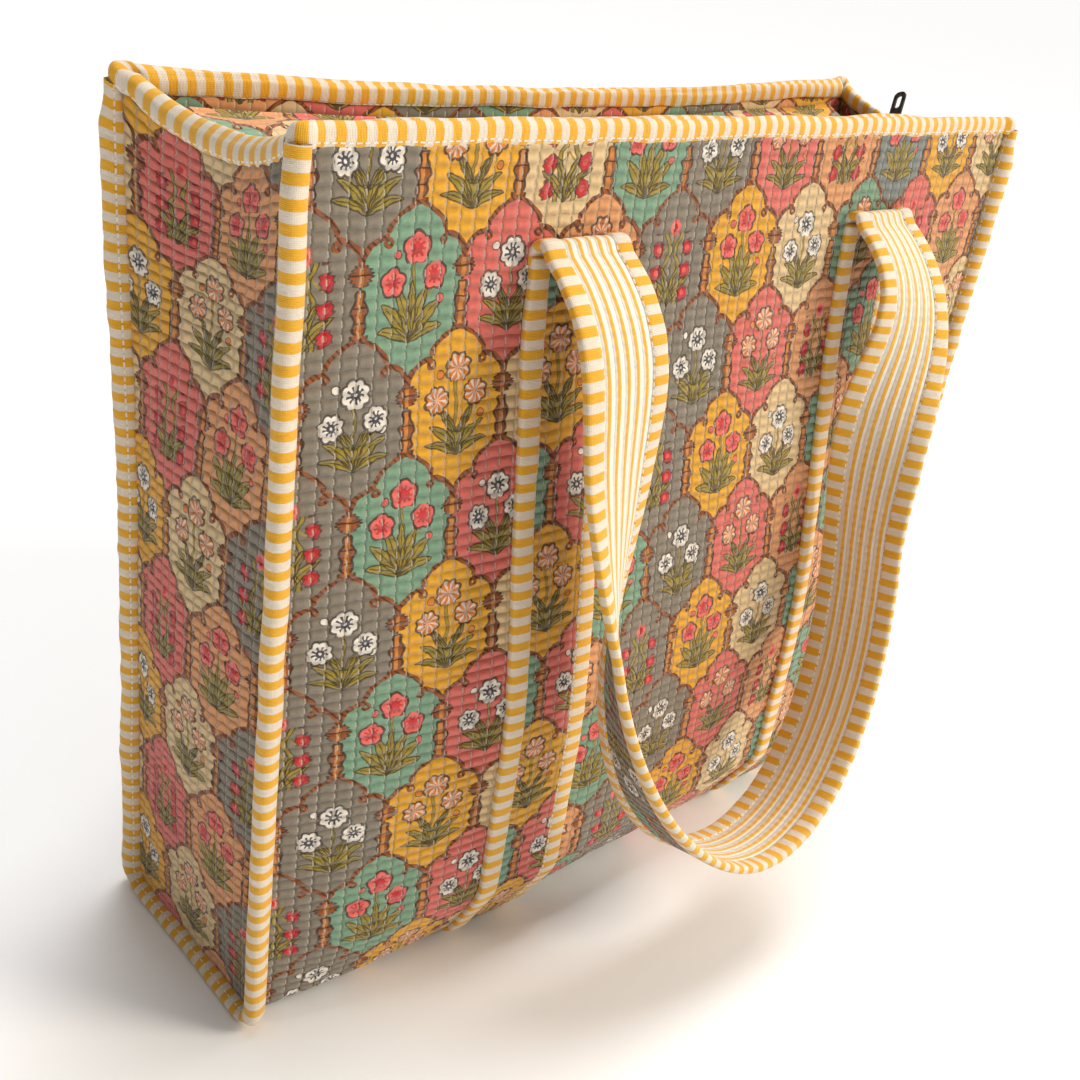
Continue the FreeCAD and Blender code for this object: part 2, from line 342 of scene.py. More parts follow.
def outline_lengths(outline):
    """Distance round an outline at each of its points."""
    total = [0.0]
    for (a, b), (c, d) in zip(outline, outline[1:]):
        total.append(total[-1] + hypot(c - a, d - b))
    return total


def rounded(angle, middle, half, roundness):
    """A point of a soft-cornered oval; roundness below 1 makes it squarer."""
    c, s = cos(angle), sin(angle)
    x = middle[0] + half[0] * (1 if c > 0 else -1) * abs(c) ** roundness
    y = middle[1] + half[1] * (1 if s > 0 else -1) * abs(s) ** roundness
    return x, y


def seam_outline():
    """The folded tape over a corner seam: its first number is out through the corner, the
    second across it."""
    points = []
    for degrees in range(-150, 151, 12):
        angle = radians(degrees)
        points.append((0.0028 + 0.0054 * cos(angle), 0.0046 * sin(angle)))
    return points


def seam_path():
    """Down the front corner, along under the side and up the back corner, as rows of place along
    the cloth, y, z, out y and out z."""
    path = []
    for v in steps(wrap_high, -wrap_under - wrap_high, seam_pitch):
        path.append((v, *wrap_place(v)))
    return path


tuck_length = 0.012            # of a seam that slims as it goes under the mouth's binding
base_squash = 0.60             # the seams are pressed flatter under the bag
floor_gap = 0.0004


def make_side_binding(side, outward):
    outline = seam_outline()
    rings, alongs = [], []
    for v, y, z, out_y, out_z in seam_path():
        tuck = 0.30 * smooth(1 - (binding_low - z) / tuck_length)
        wobble = 1 - tuck + 0.10 * rumple(y, z, outward, 0.012)
        wobble += 0.06 * rumple(z, y, outward, 0.005)
        lean = 0.0009 * rumple(z, outward, y, 0.03)
        under = base_squash if out_z < -0.5 else 1.0
        ring = []
        for out, sideways in outline:
            p = (out * wobble + sideways) / 2 ** 0.5
            q = (out * wobble - sideways) / 2 ** 0.5
            q *= under
            place = settle((outward * (side_x + p + lean), y + out_y * q, z + out_z * q))
            place.z = max(place.z, floor_gap)
            ring.append(place)
        rings.append(ring)
        alongs.append(v)
    piece = tube(f"{side}_side_tape", rings, alongs, outline_lengths(outline), False, outward > 0)
    dress(piece, "bag", "striped_tape", striped_tape)
    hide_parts(f"{side}_side_binding")
    width = outline_lengths(outline)[-1]


def mouth_path():
    """The loop round the mouth: point and outward direction, with the seams' bulk at the corners."""
    corner = 0.006
    corner_bulk = 0.0045
    path = []
    corners = ((-1, -1, 180), (1, -1, 270), (1, 1, 0), (-1, 1, 90))
    for k, (sx, sy, start) in enumerate(corners):
        for degrees in range(0, 91, 9):
            angle = radians(start + degrees)
            reach = corner + corner_bulk * sin(pi * degrees / 90)
            path.append((sx * (side_x - corner) + reach * cos(angle),
                         sy * (front_y - corner) + reach * sin(angle), cos(angle), sin(angle)))
        nx, ny, _ = corners[(k + 1) % 4]
        ends = ((sx * (side_x - corner), sy * (front_y - corner)),
                (nx * (side_x - corner), ny * (front_y - corner)))
        out = (cos(radians(start + 90)), sin(radians(start + 90)))
        length = hypot(ends[1][0] - ends[0][0], ends[1][1] - ends[0][1])
        for along in steps(0, length, seam_pitch)[1:-1]:
            share = along / length
            path.append((mix(ends[0][0], ends[1][0], share) + corner * out[0],
                         mix(ends[0][1], ends[1][1], share) + corner * out[1], *out))
    return path


def make_mouth_binding():
    middle, half = (-wall_thick / 2, -mouth_roll), (roll_half_thick, mouth_roll)
    outline = [rounded(radians(degrees), middle, half, 0.80) for degrees in range(-52, 233, 9)]
    rings, alongs = [], []
    along = 0.0
    previous = None
    for x, y, out_x, out_y in mouth_path():
        if previous:
            along += hypot(x - previous[0], y - previous[1])
        previous = (x, y)
        swell = 1 + 0.09 * rumple(x, y, 0, 0.014)
        lift = 0.0007 * rumple(x, y, 5, 0.022)
        ring = []
        for out, up in outline:
            out = (out + wall_thick / 2) * swell - wall_thick / 2
            plain = (x + out * out_x, y + out * out_y, binding_top + up * swell + lift)
            ring.append(settle(plain))
        rings.append(ring)
        alongs.append(along)
    piece = tube("mouth_tape", rings, alongs, outline_lengths(outline), False, True, looped=True)
    dress(piece, "bag", "striped_tape", striped_tape)
    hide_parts("mouth_binding")
    outline_lengths(outline)[-1]


# ---------------------------------------------------------------- straps and handles

def edge_outline():
    """A folded binding on a strap's edge, closed round: (across, out)."""
    half = (edge_width / 2 + 0.0001, edge_half_thick)
    return [rounded(radians(degrees), (0, 0), half, 0.62) for degrees in range(0, 360, 15)]


def tape_fold_width():
    """Width of the tape in an edge binding, whose two closed layers each span half the outline."""
    outline = edge_outline()
    return outline_lengths(outline)[-1] / 2


face_lift, backing_lift = 0.0030, 0.0014  # of a sewn run's two strips above the wall


def make_run(side, middle):
    low = strap_top - base_z - base_corner
    high = -wrap_under - low
    alongs = steps(low, high, run_pitch)

    def place(across, along, lift):
        return wrap_point(middle + across, along, lift)

    face = grid(f"{side}_run_strip", steps(-strip_half, strip_half, 0.0017), alongs,
                lambda a, v: place(a, v, face_lift + 0.8 * puff(a, v)), True)
    shift_cloth(face, 0.052 if side == "left" else 0.13, 0.06)
    dress(face, "bag", "print_cloth", print_cloth)
    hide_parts(f"{side}_run_face")
    backing = grid(f"{side}_run_lining_strip", steps(-strip_half, strip_half, 0.004), alongs,
                   lambda a, v: place(a, v, backing_lift), True)
    dress(backing, "bag", "striped_backing", striped_backing)
    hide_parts(f"{side}_run_backing")
    outline = edge_outline()
    for name, sign in (("left", -1), ("right", 1)):
        centre = sign * (face_half + edge_width / 2)
        rings = []
        for v in alongs:
            drift = 0.0006 * rumple(v, sign, middle, 0.04)
            plump = 1 + 0.10 * rumple(v, sign, middle, 0.010)
            rings.append([place(centre + drift - sign * a * plump, v, strap_thick / 2 + n)
                          for a, n in outline])
        edge = tube(f"{side}_run_{name}_tape", rings, alongs, outline_lengths(outline), True,
                    sign > 0)
        dress(edge, "bag", "striped_tape", striped_tape)
        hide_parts(f"{side}_run_{name}_edge")
        tape_fold_width()


def joint_place(name):
    return Vector(next(j["pos_m"] for j in frame["joints"] if j["name"] == name))


# The handle's ribbon hangs in a tilted plane as a U, given by (u across, v down) from its hinge.
hinge = joint_place("front_handle_swing")
tilt = radians(15.4)
limb_length = 0.165
limb_pitch = 0.0045
curve_drop = 0.135
spread = run_spacing / 2
left_lean, right_lean = 0.006, 0.016      # how far each limb leans towards the other
curve_middle = (left_lean - right_lean) / 2
curve_half = spread - (left_lean + right_lean) / 2
turn_start, turn_length = 0.035, 0.245    # where the left limb turns edge-on
right = Vector((1, 0, 0))
down = Vector((0, -sin(tilt), -cos(tilt)))
out = Vector((0, -cos(tilt), sin(tilt)))


def handle_stations():
    """(u, v, turn, heading) along the hanging U. The ribbon turns edge-on as it goes down, the
    left limb lower down than the right one."""
    stations = []
    for v in steps(0, limb_length, limb_pitch):
        lean = left_lean * smooth(v / limb_length)
        stations.append((-spread + lean, v, left_turn(v), 0.0))
    for degrees in range(3, 180, 3):
        a = radians(degrees)
        stations.append((curve_middle - curve_half * cos(a), limb_length + curve_drop * sin(a),
                         left_turn(limb_length + curve_half * a),
                         atan2(curve_half * sin(a), curve_drop * cos(a))))
    for v in steps(limb_length, 0, limb_pitch):
        share = smooth(v / limb_length)
        stations.append((spread - right_lean * share, v, pi / 2 * share, pi))
    return stations


def left_turn(length):
    """How far the left limb has turned edge-on, at a length along it."""
    return pi / 2 * smooth((length - turn_start) / turn_length)


def bow(v):
    """How far a limb springs out from the bag before it hangs straight."""
    return limb_bow * v / bow_length * exp(1 - v / bow_length)


def ribbon_frame(u, v, turn, heading):
    """Middle of the ribbon, and the way its striped backing looks."""
    inward = right * cos(heading) - down * sin(heading)
    backing = inward * sin(turn) + out * cos(turn)
    spring = fold_radius * (1 - smooth(v / 0.09)) + bow(v)
    return hinge + right * (u + strap_drift) + down * v + Vector((0, -spring, 0)), backing


def fold_frames(sign):
    """The short arc over the top of a run, from the run's top round to where the limb springs."""
    frames = []
    for degrees in range(-8, 118, 9):
        a = radians(max(0, degrees))
        middle = hinge + Vector((sign * spread + strap_drift, fold_radius * cos(a),
                                 fold_radius * sin(a)))
        if degrees < 0:
            middle.z -= 0.004
        frames.append((middle, Vector((0, -cos(a), -sin(a)))))
    return frames


def handle_frames():
    """The whole ribbon from one run's top to the other's."""
    hanging = [ribbon_frame(*station) for station in handle_stations()]
    line = [(m, -f) for m, f in fold_frames(-1)] + hanging
    line += [(m, -f) for m, f in reversed(fold_frames(1))]
    frames = []
    for k, (middle, backing) in enumerate(line):
        before, after = line[max(0, k - 1)][0], line[min(len(line) - 1, k + 1)][0]
        along = (after - before).normalized()
        backing = (backing - along * backing.dot(along)).normalized()
        frames.append((middle, backing.cross(along), backing))
    return frames


def mirrored(point, end):
    return Vector((point.x, point.y * end, point.z))


def make_handle(name, end):
    """end is 1 for the front handle and -1 for the back one, its mirror image."""
    frames = handle_frames()
    alongs = [0.0]
    for (a, _, _), (b, _, _) in zip(frames, frames[1:]):
        alongs.append(alongs[-1] + (b - a).length)

    def place(station, across, lift):
        middle, width, face = frames[station]
        sway = 0.0012 * rumple(alongs[station], 0, end, 0.06)
        return mirrored(middle + width * (across + sway) + face * lift, end)

    for layer, lift, slot, finish in (("face", -0.0013, "print_cloth", print_cloth),
                                      ("backing", 0.0013, "striped_backing", striped_backing)):
        acrosses = steps(-strip_half, strip_half, 0.0025)
        rings = [[place(k, a, lift * (1 + 0.35 * cos(pi * a / 2 / strip_half))) for a in acrosses]
                 for k in range(len(frames))]
        turned = (lift > 0) == (end > 0)
        piece = tube(f"{name}_handle_{layer}_strip", rings, alongs, acrosses, False, turned)
        fasten_handle(piece, name, end, slot, finish)
        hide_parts(f"{name}_handle_{layer}")
    outline = edge_outline()
    for edge, sign in (("outer", -1), ("inner", 1)):
        centre = sign * (face_half + edge_width / 2)
        rings = []
        for k in range(len(frames)):
            plump = 1 + 0.10 * rumple(alongs[k], sign, end, 0.010)
            rings.append([place(k, centre - sign * a * plump, n) for a, n in outline])
        piece = tube(f"{name}_handle_{edge}_tape", rings, alongs, outline_lengths(outline), True,
                     (end > 0) == (sign > 0))
        fasten_handle(piece, name, end, "striped_tape", striped_tape)
        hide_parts(f"{name}_handle_{edge}_edge")
        tape_fold_width()


def fasten_handle(piece, name, end, slot, finish):
    bent = hinge + down * handle_bend
    dress(piece, None, slot, finish)
    tuple(mirrored(hinge, end))
    tuple(mirrored(bent, end))
    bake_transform(piece)


# ---------------------------------------------------------------- zip flaps

flap_hinge = joint_place("front_flap_swing")
flap_slope = radians(20)
flap_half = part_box("front_flap_print")[1][0]
flap_width = 0.038
flap_settle = 0.020                       # width that follows the sagging wall it is sewn to
flap_bend = 0.016                         # width that bends as the flap swings
flap_in = Vector((0, cos(flap_slope), -sin(flap_slope)))
flap_up = Vector((0, sin(flap_slope), cos(flap_slope)))


def flap_point(x, inward, lift, end):
    """A point of a zip flap, sagging a little between its sewn edge and its stiffer tape."""
    sag = 0.0022 * sin(pi * min(1, inward / flap_width)) * (0.7 + 0.5 * rumple(x, 0, end, 0.06))
    middle = flap_hinge + flap_in * inward + flap_up * (lift - sag)
    middle.x = x
    hang = settle((x, -front_y * end, flap_hinge.z)).z - flap_hinge.z
    middle.z += hang * (1 - smooth(inward / flap_settle))
    return mirrored(middle, end)


tape_start, tape_end = 0.024, 0.0468      # of the zip tape, inwards from the hinge
flap_pitch = 0.003


def make_flap(name, end):
    tape_low, tape_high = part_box(f"{name}_zip_tape")
    body = f"{name}_flap"
    cloth = (("flap_print", 0.0012, "print_cloth", lining_cloth, end < 0),
             ("flap_lining", -0.0012, "lining_cloth", lining_cloth, end > 0))
    for layer, lift, slot, finish, turned in cloth:
        piece = grid(f"{name}_{layer}_cloth", steps(-flap_half, flap_half, flap_pitch),
                     steps(-0.001, flap_width, flap_pitch),
                     lambda x, a: flap_point(x, a, lift, end), turned)
        shift_cloth(piece, -0.070, 0.006, flip=True)
        dress(piece, None, slot, finish)
        bent = flap_hinge + flap_in * flap_bend
        tuple(mirrored(flap_hinge, end))
        tuple(mirrored(bent, end))
        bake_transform(piece)
        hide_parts(f"{name}_{layer}")
    piece = grid(f"{name}_zip_tape_cloth", steps(tape_low[0], tape_high[0], 0.004),
                 steps(tape_start, tape_end, 0.002),
                 lambda x, a: flap_point(x, a, 0.0, end), end < 0)
    dress(piece, body, "zip_tape", zip_tape)
    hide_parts(f"{name}_zip_tape")


# ---------------------------------------------------------------- finishes

class Field:
    """A number that changes over a surface. Arithmetic on it adds Math nodes."""

    def __init__(self, tree, socket):
        self.tree = tree
        self.socket = socket

    def math(self, operation, *others):
        node = self.tree.nodes.new("ShaderNodeMath")
        node.operation = operation
        for slot, value in zip(node.inputs, (self, *others)):
            if isinstance(value, Field):
                self.tree.links.new(value.socket, slot)
            else:
                slot.default_value = value
        return Field(self.tree, node.outputs[0])

    def __add__(self, other):
        return self.math("ADD", other)

    def __sub__(self, other):
        return self.math("SUBTRACT", other)

    def __mul__(self, other):
        return self.math("MULTIPLY", other)

    def __truediv__(self, other):
        return self.math("DIVIDE", other)

    def below(self, other):
        return self.math("LESS_THAN", other)

    def above(self, other):
        return self.math("GREATER_THAN", other)

    def size(self):
        return self.math("ABSOLUTE")

    def repeat(self, period):
        """The remainder, from 0 up to one period."""
        return self.math("FLOORED_MODULO", period)

    def centred(self, period):
        """The distance from the nearest multiple of a period."""
        return self.math("WRAP", period / 2, -period / 2)

    def largest(self, other):
        return self.math("MAXIMUM", other)

    def smallest(self, other):
        return self.math("MINIMUM", other)

    def power(self, other):
        return self.math("POWER", other)

    def near(self, middle, width):
        """1 within a width of a value, else 0."""
        return self.math("COMPARE", middle, width)

    def flipped(self):
        """1 becomes 0 and 0 becomes 1."""
        return self * -1.0 + 1.0

    def sine(self):
        return self.math("SINE")

    def ribs(self, period):
        """A smooth wave from 0 to 1."""
        return (self * (2 * pi / period)).sine() * 0.5 + 0.5


def chosen(test, yes, no):
    """yes where the test is 1, no where it is 0; both may be numbers."""
    if isinstance(no, Field):
        return both(test, no * -1.0 + yes) + no
    return test * (yes - no) + no


def both(first, *others):
    for other in others:
        first = first * other
    return first


def length_of(a, b):
    return (a * a + b * b).power(0.5)


class Finish:
    """One material being built: its tree, its place on the cloth and its shader."""

    def __init__(self, name, roughness, **shader_values):
        self.material = bpy.data.materials.new(name)
        self.material.use_nodes = True
        self.tree = self.material.node_tree
        self.shader = self.tree.nodes["Principled BSDF"]
        self.shader.inputs["Roughness"].default_value = roughness
        for socket, value in shader_values.items():
            self.shader.inputs[socket.replace("_", " ")].default_value = value

    def cloth_place(self):
        """(across, along) on the cloth, in millimetres."""
        uv = self.tree.nodes.new("ShaderNodeUVMap")
        uv.uv_map = "cloth"
        split = self.tree.nodes.new("ShaderNodeSeparateXYZ")
        self.tree.links.new(uv.outputs[0], split.inputs[0])
        return tuple(Field(self.tree, split.outputs[k]) * 1000.0 for k in range(2))

    def noise(self, across, along, size, detail):
        """Soft noise from 0 to 1, with patches about a size (in the fields' unit) wide."""
        join = self.tree.nodes.new("ShaderNodeCombineXYZ")
        self.tree.links.new(across.socket, join.inputs[0])
        self.tree.links.new(along.socket, join.inputs[1])
        node = self.tree.nodes.new("ShaderNodeTexNoise")
        node.inputs["Scale"].default_value = 1.0 / size
        node.inputs["Detail"].default_value = detail
        self.tree.links.new(join.outputs[0], node.inputs["Vector"])
        return Field(self.tree, node.outputs[0])

    def steps_of_colour(self, share, colours):
        """A colour chosen by a share from 0 to 1, in equal steps with no blending."""
        ramp = self.tree.nodes.new("ShaderNodeValToRGB")
        ramp.color_ramp.interpolation = "CONSTANT"
        stops = ramp.color_ramp.elements
        while len(stops) > 1:
            stops.remove(stops[-1])
        for k, colour in enumerate(colours):
            stop = stops[0] if k == 0 else stops.new(k / len(colours))
            stop.position = k / len(colours)
            stop.color = (*colour, 1)
        self.tree.links.new(share.socket, ramp.inputs[0])
        return ramp.outputs[0]

    def over(self, under, colour, mask, strength=1.0):
        """Paints a colour over another where a mask is 1."""
        node = self.tree.nodes.new("ShaderNodeMix")
        node.data_type = "RGBA"
        if strength != 1.0:
            mask = mask * strength
        self.tree.links.new(mask.socket, node.inputs["Factor"])
        for slot, value in ((node.inputs["A"], under), (node.inputs["B"], colour)):
            if isinstance(value, tuple):
                slot.default_value = (*value, 1)
            else:
                self.tree.links.new(value, slot)
        return node.outputs["Result"]

    def shaded(self, colour, amount):
        """A colour made lighter or darker by a field around 1."""
        node = self.tree.nodes.new("ShaderNodeVectorMath")
        node.operation = "SCALE"
        self.tree.links.new(colour, node.inputs[0])
        self.tree.links.new(amount.socket, node.inputs["Scale"])
        return node.outputs[0]

    def colour(self, socket):
        self.tree.links.new(socket, self.shader.inputs["Base Color"])

    def relief(self, height, distance):
        """Bump from a height field of about 0 to 1, distance metres tall."""
        bump = self.tree.nodes.new("ShaderNodeBump")
        bump.inputs["Distance"].default_value = distance
        self.tree.links.new(height.socket, bump.inputs["Height"])
        self.tree.links.new(bump.outputs[0], self.shader.inputs["Normal"])


def paint(red, green, blue):
    """A colour given as it looks, from 0 to 255, turned into light."""
    return tuple(((c / 255 + 0.055) / 1.055) ** 2.4 for c in (red, green, blue))


grey = paint(130, 119, 102)
yellow = paint(226, 162, 28)
cream = paint(220, 188, 136)
teal = paint(120, 156, 126)
pink = paint(216, 104, 90)
peach = paint(218, 150, 94)
slate = paint(118, 124, 118)
ink = paint(44, 26, 14)
rope = paint(146, 76, 20)
pale_rope = paint(214, 138, 52)
leaf = paint(156, 134, 38)
white = paint(232, 222, 208)
red = paint(190, 28, 34)
coral = paint(232, 104, 92)
orange = paint(214, 122, 38)
night = paint(40, 42, 56)
thread = paint(236, 222, 198)


def weave(finish, across, along):
    """The fine woven grain of the cloth, from 0 to 1."""
    threads = finish.noise(across * 3.0, along * 0.6, 1.0, 1.0)
    crossing = finish.noise(across * 0.6, along * 3.0, 1.0, 1.0)
    return (threads + crossing) * 0.5


def quilt_relief(finish, across, along):
    """Small pillows between vertical lines of running stitch, and the white thread in the lines. The pillows
    also give the painted shade in the creases between them.
    """
    line_apart, stitch_apart = quilt_line * 1000, quilt_stitch * 1000
    line = (across / line_apart).centred(1.0).size() * 2.0
    jittered = along + finish.noise(across, along, 9.0, 1.0) * 1.6
    rib = (jittered * (pi / stitch_apart)).sine().size()
    pillow = (rib * 0.7 + 0.3) * ((line.flipped().power(4.0) * 0.7).flipped())
    dash = (jittered / stitch_apart).centred(1.0).size().above(0.26)
    stitch = both(line.below(0.09), dash)
    return pillow, stitch


# The printed arch has a lobe in its middle and a wing on each side. Millimetres, like all of the
# print's drawing.
lobe_half, lobe_rise = 12.7, 9.1
lobe_bend = 1.4                # 2 would make it an ellipse, 1 a point
wing_start, wing_half, wing_rise, wing_top = 12.0, 11.4, 9.5, 11.4
cord_half, cord_rise, cord_foot = 11.2, 9.6, 21.0


def arch_drop(side):
    """How far the arch's line lies below its top, at a distance from its middle."""
    lobe = ((side / lobe_half).smallest(1.0).power(lobe_bend).flipped()).power(1 / lobe_bend)
    middle = (lobe.flipped()) * lobe_rise
    reach = ((side - wing_start) / wing_half).largest(0.0).smallest(1.0)
    outer = ((reach * reach).flipped().power(0.5)).flipped() * wing_rise + wing_top
    return chosen(side.below(lobe_half), middle, outer)


def arch_line(side, down):
    """1 on the twisted cord that outlines an arch."""
    fallen = ((down - lobe_rise) / -lobe_rise).largest(0.0)
    lobe = ((side / lobe_half).power(lobe_bend) + fallen.power(lobe_bend)).power(1 / lobe_bend)
    middle = both((lobe - 1.0).size().below(0.105), side.below(13.6), down.below(10.2))
    outer = length_of((side - wing_start) / cord_half, (down - cord_foot) / cord_rise)
    wing = both((outer - 1.0).size().below(0.115), side.above(12.2), down.below(21.5))
    curl = length_of(side - 12.3, down - 13.6)
    hook = (curl - 1.3).size().below(0.75)
    return middle.largest(wing).largest(hook)


post_top, post_high = 20.5, 27.5
crown_half_high, crown_half_wide = 4.0, 4.2
bulb_middle, bulb_half_high, bulb_half_wide = 17.5, 8.5, 3.1
foot_start, foot_half_wide = 25.0, 3.3


def column_fields(side, down):
    """The turned post between two arches: 1 in it, and 1 on its dark outline."""
    off = (side - cell_width * 500).size()
    along = down - post_top
    crown = (along - crown_half_high) / crown_half_high
    leafy = (crown.size().flipped()).largest(0.0).power(0.5) * crown_half_wide
    spikes = (down * 2.2).sine().size() * 1.3
    neck = ((along - bulb_middle) / bulb_half_high)
    bulb = (neck.size().flipped()).largest(0.0).power(0.35) * bulb_half_wide
    bulb = bulb + (down * 0.9).sine() * 0.6
    foot = along.above(foot_start) * foot_half_wide
    width = (leafy + spikes * leafy.above(0.4)).largest(bulb * neck.size().below(1.0)).largest(foot)
    inside = both(off.below(width), along.above(0.0), along.below(post_high))
    edge = both((off - width).size().below(0.55), along.above(-0.3), along.below(post_high))
    rings = both(inside, (down * 1.1).sine().above(0.93))
    return inside, edge.largest(rings)


def lattice(across, along, even_shift):
    """Where a place falls in the print's net of arches, whose rows hang half a cell apart: u from
    the cell's middle, drop from its top, its column, row parity and motif, and the arch's cord."""
    wide, rise = cell_width * 1000, cell_rise * 1000
    margin = 1.2
    fall = along * -1.0 + margin
    row = (fall / rise).math("FLOOR")
    down = fall - row * rise - margin
    parity = row.repeat(2.0)
    side = (across - parity * (wide / 2)).centred(wide).size()
    over_arch = down.below(arch_drop(side))
    cord = arch_line(side, down)
    own_parity = (row - over_arch).repeat(2.0)
    from_first = across - own_parity * (wide / 2)
    column = (from_first / wide).math("ROUND")
    u = from_first - column * wide
    drop = down + over_arch * rise
    motif = (column + own_parity * float(even_shift)).repeat(4.0)
    return u, drop, column, own_parity, motif, cord


# Where a motif's three flowers and two buds are: across from its middle and down from its top.
top_flower, left_flower, right_flower = (0.4, 16.2), (-9.2, 28.0), (9.4, 26.5)
top_radius, low_radius = 6.1, 5.4
left_bud, right_bud = (-8.0, 18.0), (12.6, 35.5)
white_flowers, gold_flowers, red_plant, poppies = 0.0, 1.0, 2.0, 3.0      # the four motifs


def flower_field(u, drop):
    """Distance from the nearest of three flowers, in its own radii, and the angle round it."""
    top = drop.below(21.5)
    left = u.below(0.0)
    middle_u = chosen(top, top_flower[0], chosen(left, left_flower[0], right_flower[0]))
    middle_d = chosen(top, top_flower[1], chosen(left, left_flower[1], right_flower[1]))
    radius = chosen(top, top_radius, low_radius)
    du = u - middle_u
    dd = drop - middle_d
    angle = du.math("ARCTAN2", dd)
    return length_of(du, dd) / radius, angle


def blade(u, drop, root, tip, half_width, bend):
    """A pointed leaf from a root to a tip, bent sideways: its fill, and its edge and midrib."""
    run, fall = tip[0] - root[0], tip[1] - root[1]
    length = hypot(run, fall)
    run, fall = run / length, fall / length
    along = (u * run + drop * fall - (root[0] * run + root[1] * fall)) / length
    belly = (along * along.flipped()).largest(0.0) * 4.0
    off = (drop * run - u * fall - (root[1] * run - root[0] * fall) - belly * bend).size()
    wide = belly.power(0.8) * half_width
    edge = both((off - wide).size().below(0.33), belly.above(0.0))
    rib = both(off.below(0.22), belly.above(0.45))
    return off.below(wide), edge.largest(rib)


def bunch(u, drop, blades):
    """Several leaves together, drawn the same on both sides of the stem."""
    side = u.size()
    fill, lines = None, None
    for root, tip, half_width, bend in blades:
        inside, drawn = blade(side, drop, root, tip, half_width, bend)
        fill = inside if fill is None else fill.largest(inside)
        lines = drawn if lines is None else lines.largest(drawn)
    return fill, lines


# Leaves of the two kinds of bunch: root, tip, half width and bend, in millimetres.
slender_leaves = [((0.0, 51.0), (15.2, 45.4), 1.6, -1.8), ((0.0, 50.5), (13.2, 38.0), 1.9, -1.8),
                  ((0.0, 50.0), (6.6, 32.5), 1.8, -1.2), ((0.3, 42.0), (7.6, 31.0), 1.3, 1.0)]
broad_leaves = [((0.0, 50.5), (15.0, 45.5), 2.0, -1.4), ((0.0, 50.0), (13.6, 35.5), 2.5, -0.8),
                ((0.0, 49.5), (7.0, 29.5), 2.3, -0.5), ((0.0, 50.0), (0.0, 27.5), 2.1, 0.0)]


def print_finish(name, odd_row, even_row, even_shift, flat=False):
    """Cotton printed with arches, posts and four flowers, quilted with running stitch."""
    finish = Finish(name, 0.86, Sheen_Weight=0.25, Sheen_Roughness=0.5)
    across, along = finish.cloth_place()
    grain = weave(finish, across, along)
    drawn_u = across + (finish.noise(across, along, 4.0, 2.0) - 0.5) * 1.5
    drawn_v = along + (finish.noise(across + 300.0, along, 4.0, 2.0) - 0.5) * 1.5
    u, drop, column, parity, motif, cord = lattice(drawn_u, drawn_v, even_shift)

    count = float(len(odd_row))
    share = (column.repeat(count) + parity * count + 0.5) / (2.0 * count)
    colour = finish.steps_of_colour(share, odd_row + even_row)
    fade = finish.noise(across, along, 12.0, 3.0) * 0.20 + 0.90
    colour = finish.shaded(colour, fade)

    colour = draw_flowers(finish, colour, u, drop, motif)
    colour = draw_red_plant(finish, colour, u, drop, motif)

    post, post_edge = column_fields(u.size(), drop)
    colour = finish.over(colour, rope, post)
    lit = (u.size() - cell_width * 500).size().below(1.0)
    colour = finish.over(colour, pale_rope, both(post, lit), 0.8)
    colour = finish.over(colour, ink, post_edge, 0.85)
    twist = ((drawn_u + drawn_v) * 2.0).sine().above(0.45)
    colour = finish.over(colour, rope, cord)
    colour = finish.over(colour, ink, both(cord, twist), 0.8)

    pillow, stitch = quilt_relief(finish, across, along)
    # Painted shade: the colour darkens in the creases between the quilted puffs.
    colour = finish.shaded(colour, pillow * 0.20 + 0.84)
    colour = finish.shaded(colour, grain * 0.24 + 0.88)
    colour = finish.over(colour, thread, stitch, 0.6)
    finish.colour(colour)
    height = pillow + grain * 0.16 + stitch * 0.12
    finish.relief(height, 0.0007 if flat else 0.0022)
    return finish.material


